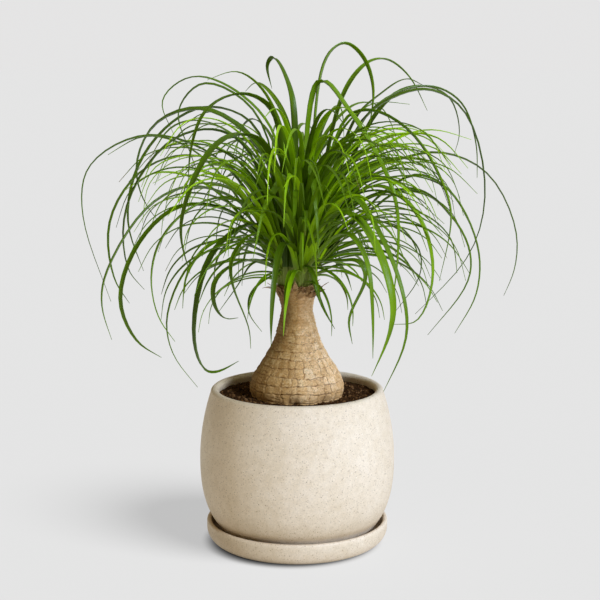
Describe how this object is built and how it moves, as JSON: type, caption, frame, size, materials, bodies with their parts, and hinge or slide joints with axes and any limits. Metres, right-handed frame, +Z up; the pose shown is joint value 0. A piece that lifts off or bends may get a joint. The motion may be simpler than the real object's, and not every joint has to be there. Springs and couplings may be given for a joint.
{
  "type": "potted ponytail palm",
  "caption": "Ponytail palm with a swollen bark-covered foot and a fountain of long arching leaves, in a round-bellied stoneware pot with soil and a saucer.",
  "frame": {"origin": "middle of the saucer's flat underside", "axes": "+Z up, -Y towards the front of the picture, +X to its right"},
  "size_m": [0.3728, 0.3451, 0.4339],
  "materials": {
    "stoneware": "matt speckled stoneware, unglazed",
    "soil": "dark crumbly potting soil",
    "bark": "dry bark in cracked tiles and rings",
    "leaf": "smooth satin green leaf"
  },
  "bodies": {
    "root": {"saucer": "stoneware", "pot": "stoneware", "soil": "soil", "trunk": "bark", "leaf_head_left": "leaf", "leaf_head_front": "leaf", "leaf_head_right": "leaf", "leaf_head_back": "leaf"}
  },
  "joints": []
}
